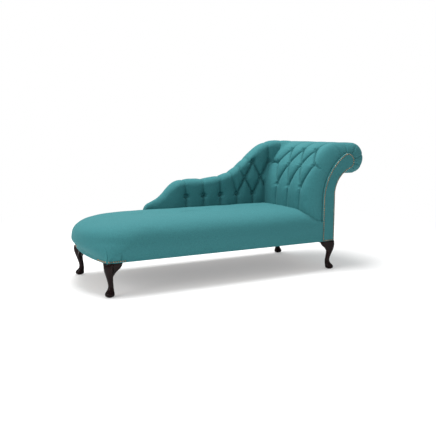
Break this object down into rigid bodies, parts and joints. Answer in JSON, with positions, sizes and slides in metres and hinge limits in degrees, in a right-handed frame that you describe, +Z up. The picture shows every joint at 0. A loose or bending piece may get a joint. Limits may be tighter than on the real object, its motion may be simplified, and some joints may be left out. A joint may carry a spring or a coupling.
{
  "type": "chaise longue",
  "caption": "Upholstered chaise longue with a rounded foot end, a deep-buttoned scroll head end, a buttoned serpentine half back and dark cabriole legs.",
  "frame": {"origin": "on the floor, under the middle of the overall length and depth", "axes": "+X along the seat towards the scroll end, -Y towards the open front side, +Z up"},
  "size_m": [1.7893, 0.656, 0.7984],
  "materials": {
    "teal_velvet": "soft woven upholstery cloth",
    "dark_mahogany": "dark polished varnish",
    "beech_frame": "sawn, unfinished",
    "antique_brass": "antiqued",
    "zinc_steel": "zinc plated",
    "nylon_glide": "moulded",
    "jute_webbing": "woven jute",
    "hessian": "open plain weave",
    "upholstery_foam": "open cell",
    "black_cloth": "thin black lining"
  },
  "bodies": {
    "root": {"front_seat_rail": "beech_frame", "back_seat_rail": "beech_frame", "foot_end_rail": "beech_frame", "head_end_rail": "beech_frame", "seat_cross_rails": "beech_frame", "corner_blocks": "beech_frame", "dust_cover": "black_cloth", "leg_bolts": "zinc_steel", "leg_washers": "zinc_steel", "leg_nuts": "zinc_steel", "floor_glides": "nylon_glide", "seat_webbing": "jute_webbing", "seat_hessian": "hessian", "seat_foam": "upholstery_foam", "seat_cover": "teal_velvet", "scroll_front_board": "beech_frame", "scroll_rear_board": "beech_frame", "scroll_front_facing": "teal_velvet", "scroll_rear_facing": "teal_velvet", "front_facing_nails": "antique_brass", "rear_facing_nails": "antique_brass", "foot_corner_nails": "antique_brass", "scroll_crest_rail": "beech_frame", "scroll_nose_rail": "beech_frame", "scroll_neck_rail": "beech_frame", "scroll_tack_rail": "beech_frame", "scroll_webbing": "jute_webbing", "scroll_hessian": "hessian", "scroll_foam": "upholstery_foam", "scroll_buttoned_pad": "teal_velvet", "scroll_buttons": "teal_velvet", "scroll_outside_panel": "teal_velvet", "back_top_rail": "beech_frame", "back_uprights": "beech_frame", "back_tack_rails": "beech_frame", "back_webbing": "jute_webbing", "back_hessian": "hessian", "back_foam": "upholstery_foam", "back_buttoned_pad": "teal_velvet", "back_buttons": "teal_velvet", "back_outside_panel": "teal_velvet", "front_foot_leg": "dark_mahogany", "rear_foot_leg": "dark_mahogany", "front_head_leg": "dark_mahogany", "rear_head_leg": "dark_mahogany"}
  },
  "joints": []
}
